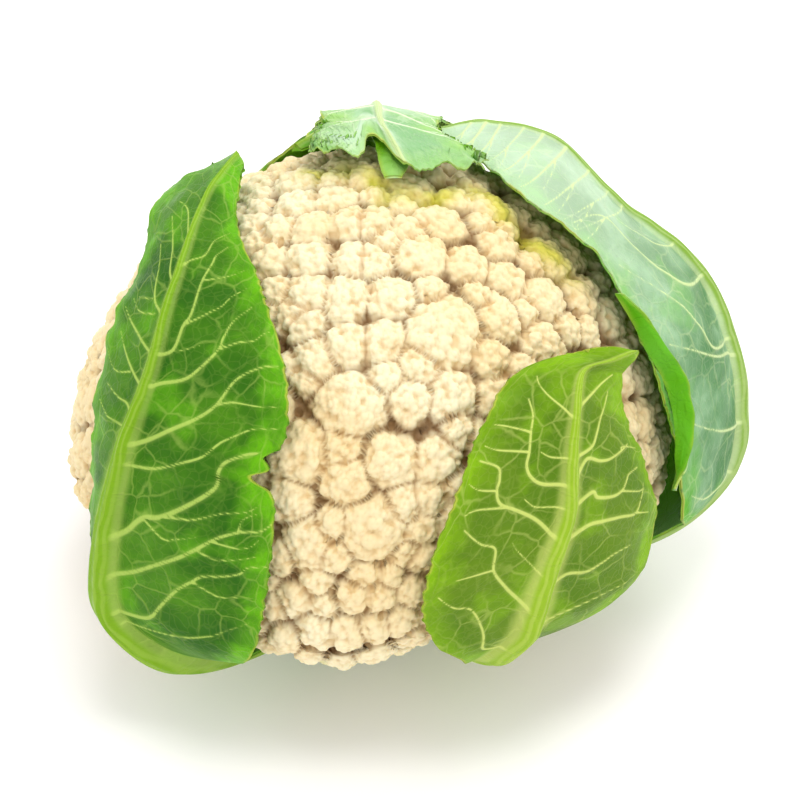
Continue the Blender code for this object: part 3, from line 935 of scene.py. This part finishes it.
def curd_surface():
    """Cream domes with painted shade in the gaps between them, tinted yellow-green along the
    leaves' edges and greener underneath.
    """
    made, tree, shader = new_surface("curd_cream", 0.6)
    place = place_node(tree)
    deep = value_of(tree, "deep")
    mid = value_of(tree, "mid")
    fine = value_of(tree, "fine")
    climb = value_of(tree, "climb")

    patches = remap(tree, grain(tree, place, 22.0, 2.0), 0.35, 0.68)
    base = mix(tree, patches, colour(238, 228, 192), colour(232, 212, 164))
    blush = remap(tree, grain(tree, place, 60.0, 3.0), 0.50, 0.72)
    base = mix(tree, calc(tree, "MULTIPLY", blush, 0.4), base, colour(230, 202, 148))
    # Painted shade: tan to brown darkening in the hollows between buds (fine), bumps (mid) and
    # clusters (crease), darkest in the deepest gaps (deep).
    base = mix(tree, remap(tree, fine, 0.3, 1.0, 0.0, 0.35), base, colour(218, 186, 128))
    base = mix(tree, remap(tree, mid, 0.35, 1.0, 0.0, 0.5), base, colour(210, 172, 110))
    base = mix(tree, remap(tree, value_of(tree, "crease"), 0.4, 1.0, 0.0, 0.55), base,
               colour(176, 128, 66))
    base = mix(tree, remap(tree, deep, 0.45, 0.9, 0.0, 0.9), base, colour(120, 84, 42))
    # Yellow-green tint along the leaves' edges, in patches.
    edge_tint = calc(tree, "MULTIPLY", value_of(tree, "edge_tint"),
                 remap(tree, grain(tree, place, 90.0, 2.0), 0.3, 0.6, 0.3, 0.8))
    base = mix(tree, edge_tint, base, colour(208, 204, 40))
    under = remap(tree, climb, -0.15, -0.45)
    base = mix(tree, calc(tree, "MULTIPLY", under, 0.7), base, colour(200, 200, 138))
    tree.links.new(base, shader.inputs["Base Color"])

    rough = remap(tree, grain(tree, place, 300.0, 2.0), 0.3, 0.7, 0.5, 0.72)
    tree.links.new(rough, shader.inputs["Roughness"])
    cells = make(tree, "ShaderNodeTexVoronoi", {"Vector": place, "Scale": 900.0})
    height = calc(tree, "ADD", calc(tree, "MULTIPLY", cells.outputs["Distance"], -0.6),
                  calc(tree, "MULTIPLY", grain(tree, place, 1500.0, 3.0), 0.5))
    bump = make(tree, "ShaderNodeBump", {"Height": height, "Strength": 0.3,
                                         "Distance": 0.0004})
    tree.links.new(bump.outputs["Normal"], shader.inputs["Normal"])
    set_numbers(shader, {"Subsurface Weight": 0.15, "Subsurface Radius": (1.0, 0.7, 0.4),
                         "Subsurface Scale": 0.002, "Specular IOR Level": 0.25})
    return made


def leaf_surface(name, palette):
    """A leaf's material from its own greens."""
    dark, bright, pale, rib_green, bloom, inside, *tip_sheen = [colour(*each) for each in palette]
    made, tree, shader = new_surface(name, 0.5)
    place = place_node(tree)
    blade = vector_of(tree, "blade_place")
    vein = value_of(tree, "vein_reach")
    side = value_of(tree, "rib_side")
    edge = value_of(tree, "edge_gap")
    along = value_of(tree, "along")
    tooth = value_of(tree, "tooth")
    is_inside = value_of(tree, "inside")

    patches = remap(tree, grain(tree, blade, 42.0, 3.0), 0.38, 0.64)
    base = mix(tree, patches, dark, bloom)
    outer_zone = calc(tree, "ADD", remap(tree, edge, 16.0, 2.0, 0.0, 0.85),
                      remap(tree, grain(tree, blade, 70.0, 3.0), 0.42, 0.7, -0.25, 0.5),
                      clamp=True)
    base = mix(tree, outer_zone, base, bright)
    mottle = remap(tree, grain(tree, blade, 320.0, 3.0, 0.6), 0.35, 0.7, 0.0, 0.28)
    base = mix(tree, mottle, base, dark)

    # Fine veins: two nets of bent cells.
    warp = make(tree, "ShaderNodeTexNoise", {"Vector": blade, "Scale": 160.0, "Detail": 2.0})
    shift = make(tree, "ShaderNodeVectorMath", {0: warp.outputs["Color"], 1: (0.5, 0.5, 0.5)},
                 operation="SUBTRACT")
    shift = make(tree, "ShaderNodeVectorMath", {0: shift.outputs[0], "Scale": 0.003},
                 operation="SCALE")
    bent = make(tree, "ShaderNodeVectorMath", {0: blade, 1: shift.outputs[0]},
                operation="ADD").outputs[0]
    net = make(tree, "ShaderNodeTexVoronoi", {"Vector": bent, "Scale": 120.0},
               feature="DISTANCE_TO_EDGE").outputs["Distance"]
    small_net = make(tree, "ShaderNodeTexVoronoi", {"Vector": bent, "Scale": 420.0},
                     feature="DISTANCE_TO_EDGE").outputs["Distance"]
    net_line = remap(tree, net, 0.055, 0.0)
    small_line = remap(tree, small_net, 0.10, 0.0)
    patchy = remap(tree, grain(tree, blade, 55.0, 1.0), 0.4, 0.6, 0.06, 0.26)
    base = mix(tree, calc(tree, "MULTIPLY", net_line, patchy), base, pale)
    base = mix(tree, calc(tree, "MULTIPLY", small_line, 0.06), base, pale)
    base = mix(tree, remap(tree, vein, 2.6, 0.8, 0.0, 0.12), base, pale)
    # Painted sheen: towards the tip, which lies high in the light, the leaf is whitened by up to
    # half.
    for sheen_colour in tip_sheen:
        base = mix(tree, remap(tree, along, 0.45, 0.85, 0.0, 0.5), base, sheen_colour)
    base = mix(tree, remap(tree, vein, 1.25, 0.45, 0.0, 0.85), base, pale)

    # The midrib: greener along its crest, with pale ridges and paler flanks.
    off = calc(tree, "ABSOLUTE", side)
    low_part = remap(tree, along, 0.75, 0.25)
    flank = calc(tree, "MULTIPLY", remap(tree, off, 1.9, 0.85),
                 remap(tree, low_part, 0.0, 1.0, 0.35, 0.6))
    base = mix(tree, flank, base, pale)
    wobble = calc(tree, "MULTIPLY", grain(tree, blade, 60.0, 2.0), 1.2)
    stripes = calc(tree, "SINE", calc(tree, "MULTIPLY", calc(tree, "ADD", side, wobble), 13.0))
    crest = mix(tree, remap(tree, stripes, -0.3, 1.0, 0.0, 0.3), rib_green, pale)
    base = mix(tree, remap(tree, off, 0.95, 0.6, 0.0, 0.9), base, crest)

    # The margin is yellowed in places, and its teeth are dark.
    yellow = calc(tree, "MULTIPLY", remap(tree, edge, 1.8, 0.2),
                  remap(tree, grain(tree, blade, 90.0, 2.0), 0.4, 0.62, 0.1, 0.7))
    base = mix(tree, yellow, base, colour(186, 190, 74))
    tips = calc(tree, "MULTIPLY", remap(tree, edge, 1.5, 0.5),
                remap(tree, tooth, 0.55, 1.0, 0.0, 0.8))
    base = mix(tree, tips, base, dark)
    inner = mix(tree, patches, inside, bright)
    inner = mix(tree, remap(tree, vein, 1.3, 0.4, 0.0, 0.4), inner, pale)
    inner = mix(tree, yellow, inner, colour(150, 180, 60))
    base = mix(tree, is_inside, base, inner)
    tree.links.new(base, shader.inputs["Base Color"])

    rough = remap(tree, grain(tree, place, 140.0, 3.0), 0.3, 0.7, 0.38, 0.58)
    tree.links.new(rough, shader.inputs["Roughness"])
    height = calc(tree, "ADD", calc(tree, "MULTIPLY", net_line, 0.5),
                  calc(tree, "MULTIPLY", small_line, 0.3))
    height = calc(tree, "ADD", height, calc(tree, "MULTIPLY", grain(tree, place, 700.0, 3.0), 0.5))
    bump = make(tree, "ShaderNodeBump", {"Height": height, "Strength": 0.45,
                                         "Distance": 0.0005})
    tree.links.new(bump.outputs["Normal"], shader.inputs["Normal"])
    set_numbers(shader, {"Subsurface Weight": 0.08, "Subsurface Radius": (0.6, 1.0, 0.25),
                         "Subsurface Scale": 0.0012, "Specular IOR Level": 0.14})
    return made


def stem_surface():
    """Pale green fibre with brown patches, for the stem and the leaf stumps."""
    made, tree, shader = new_surface("stem_pale", 0.55)
    place = place_node(tree)
    streaks = make(tree, "ShaderNodeMapping", {"Vector": place, "Scale": (1.0, 1.0, 0.15)})
    fibre = grain(tree, streaks.outputs[0], 420.0, 3.0)
    base = mix(tree, remap(tree, fibre, 0.35, 0.65), colour(214, 214, 160),
               colour(188, 198, 128))
    brown = remap(tree, grain(tree, place, 90.0, 3.0), 0.58, 0.75, 0.0, 0.5)
    base = mix(tree, brown, base, colour(170, 140, 90))
    tree.links.new(base, shader.inputs["Base Color"])
    tree.links.new(remap(tree, fibre, 0.3, 0.7, 0.45, 0.7), shader.inputs["Roughness"])
    bump = make(tree, "ShaderNodeBump", {"Height": fibre, "Strength": 0.4,
                                         "Distance": 0.0004})
    tree.links.new(bump.outputs["Normal"], shader.inputs["Normal"])
    return made


# ------------------------------------------------------------------------- pieces

# Colours as they look on a screen: dark, bright, veins, midrib, bloom, inner face, and for one leaf
# a painted sheen, a near-white green towards its tip, which lies at the top.
PALETTES = {
    "left_leaf": ((38, 94, 0), (98, 172, 2), (172, 200, 92), (118, 164, 10),
                  (72, 128, 8), (80, 150, 4)),
    "front_right_leaf": ((82, 120, 10), (126, 174, 4), (200, 214, 112), (140, 178, 28),
                         (96, 130, 20), (128, 166, 10)),
    "right_leaf": ((66, 122, 64), (96, 172, 36), (204, 222, 158), (120, 160, 40),
                   (140, 180, 138), (84, 160, 2), (220, 240, 214)),
    "top_leaf": ((132, 180, 124), (154, 200, 112), (228, 240, 206), (192, 216, 144),
                 (202, 226, 198), (96, 160, 4)),
    "back_left_leaf": ((46, 100, 20), (78, 150, 12), (176, 196, 110), (120, 158, 36),
                       (72, 124, 46), (88, 144, 8)),
}
NO_RIBS = ((0.5, 0.0), (0.5, 0.0))
FLAP_OPTIONS = {"steps": (150, 30), "rolled": True, "thickness": (1.0, 0.7), "pucker": 0.4,
                "frill": 0.8, "flare": 0.0, "blade_from": -1.0,
                "uv": (0.005, 0.005, 0.995, 0.075), "rim_uv": (0.085, 0.1)}
TONGUE_OPTIONS = dict(FLAP_OPTIONS, steps=(90, 50), frill=0.5, teeth=0.6)
# Bays are (margin, along, half width, depth), and bays in the tip (across, half width,
# depth); what they hold are shares of the leaf.
OPTIONS = {
    "left_leaf": {"bays": ((1, 0.53, 0.018, 0.16), (1, 0.50, 0.012, 0.22)), "frill": 1.2},
    "front_right_leaf": {"frill": 1.4},
    "right_leaf": {"frill": 1.0, "teeth": 0.5},
    "top_leaf": {"frill": 1.2, "tip_bays": ((-0.19, 0.17, 0.115),), "tip_frill": True},
    "back_left_leaf": {"frill": 1.2},
}
# Side veins that follow a rule: how many, on which side, from where to where, and lean.
BOTH_SIDES = ((11, 1, 0.22, 0.9, 0.10), (11, -1, 0.22, 0.9, 0.10))
RULED_VEINS = {
    "right_leaf": ((11, 1, 0.22, 0.9, 0.10), (9, -1, 0.66, 0.95, 0.06)),
    "top_leaf": BOTH_SIDES,
    "back_left_leaf": BOTH_SIDES,
}
# A second sheet that is part of a leaf: rows, what is added to the seed, and options.
EXTRAS = {
    "right_leaf": (FLAP_ROWS, 30, FLAP_OPTIONS),
    "top_leaf": (TONGUE_ROWS, 31, TONGUE_OPTIONS),
}


def stand_for(piece, node):
    """The piece replaces the CAD's node."""
    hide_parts(node)
    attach(piece, "root")


def make_leaf(name):
    """One leaf, with the second sheet that some have, in its own greens."""
    leaf = LEAVES[name]
    seed = leaf["seed"]
    veins = list(VEINS[name])
    for index, ruled in enumerate(RULED_VEINS.get(name, ())):
        veins += rule_veins(seed + index, *ruled)
    parts = [sheet(leaf["rows"], leaf["ribs"], veins, seed, OPTIONS[name])]
    if name in EXTRAS:
        rows, more, options = EXTRAS[name]
        parts.append(sheet(rows, NO_RIBS, (), seed + more, options))
    offset = 0
    quads = []
    for part in parts:
        quads.append(part[1] + offset)
        offset += len(part[0])
    points = np.concatenate([part[0] for part in parts])
    uvs = np.concatenate([part[2] for part in parts])
    values = {key: np.concatenate([part[3][key] for part in parts]) for key in parts[0][3]}
    surface = leaf_surface(name + "_green", PALETTES[name])
    piece = add_mesh(name + "_look", points, np.concatenate(quads), uvs, values, surface)
    stand_for(piece, name)


# ------------------------------------------------------------- floor, light, camera

# The floor is lit a little from below, as a light table is.
FLOOR_GLOW = 0.14
FLOOR_HALF = 3.0
# Both lights aim here.
LIGHT_TARGET = (0.0, 0.0, 0.06)
CAMERA_TILT = math.radians(38.0)
CAMERA_DISTANCE = 0.93
CAMERA_TARGET = Vector((0.007, 0.0, 0.0657))


def make_floor():
    """A plain pale floor."""
    mesh = bpy.data.meshes.new("floor")
    corners = [(FLOOR_HALF * x, FLOOR_HALF * y, 0.0)
               for x, y in ((-1, -1), (1, -1), (1, 1), (-1, 1))]
    mesh.from_pydata(corners, [], [(0, 1, 2, 3)])
    made, tree, shader = new_surface("floor_pale", 0.9)
    speckle = grain(tree, place_node(tree), 40.0, 2.0)
    tree.links.new(mix(tree, speckle, (0.86, 0.86, 0.86, 1.0), (0.88, 0.88, 0.88, 1.0)),
                   shader.inputs["Base Color"])
    set_numbers(shader, {"Specular IOR Level": 0.1, "Emission Strength": FLOOR_GLOW,
                         "Emission Color": (1.0, 0.90, 0.98, 1.0)})
    mesh.materials.append(made)
    floor = bpy.data.objects.new("floor", mesh)
    bpy.context.scene.collection.objects.link(floor)


def add_light(name, place, size, power, tint):
    """A round soft light at place."""
    data = bpy.data.lights.new(name, "AREA")
    data.shape = "DISK"
    data.size = size
    data.energy = power
    data.color = tint
    made = bpy.data.objects.new(name, data)
    made.location = place
    made.rotation_euler = (Vector(LIGHT_TARGET) - Vector(place)).to_track_quat("-Z", "Y").to_euler()
    bpy.context.scene.collection.objects.link(made)


def make_studio():
    """An even white surround, a soft light above and a weaker one behind."""
    world = bpy.data.worlds.new("studio")
    world.use_nodes = True
    background = world.node_tree.nodes["Background"]
    background.inputs["Color"].default_value = (1.0, 0.985, 0.97, 1.0)
    background.inputs["Strength"].default_value = 1.08
    bpy.context.scene.world = world
    bpy.context.scene.view_settings.view_transform = "Standard"
    add_light("overhead", (0.10, -0.30, 1.50), 0.6, 7.0, (1.0, 0.99, 0.97))
    add_light("rim", (0.55, 0.65, 1.10), 0.6, 4.0, (1.0, 0.98, 0.95))


def make_camera():
    """A long lens that looks down at the front."""
    data = bpy.data.cameras.new("camera")
    data.lens = 150.0
    data.sensor_width = 36.0
    data.clip_start = 0.05
    made = bpy.data.objects.new("camera", data)
    made.location = CAMERA_TARGET + CAMERA_DISTANCE * Vector(
        (0.0, -math.cos(CAMERA_TILT), math.sin(CAMERA_TILT)))
    made.rotation_euler = (math.radians(90.0) - CAMERA_TILT, 0.0, 0.0)
    bpy.context.scene.collection.objects.link(made)
    bpy.context.scene.camera = made


make_camera()
make_studio()
make_floor()

curd = make_curd(curd_surface())
stand_for(curd, "curd")
for leaf_name in LEAVES:
    make_leaf(leaf_name)

stem_look = stem_surface()
for node_name in ("stem", "stub_left", "stub_front", "stub_right"):
    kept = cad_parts[node_name]
    for slot_index in range(len(kept.material_slots)):
        kept.material_slots[slot_index].material = stem_look
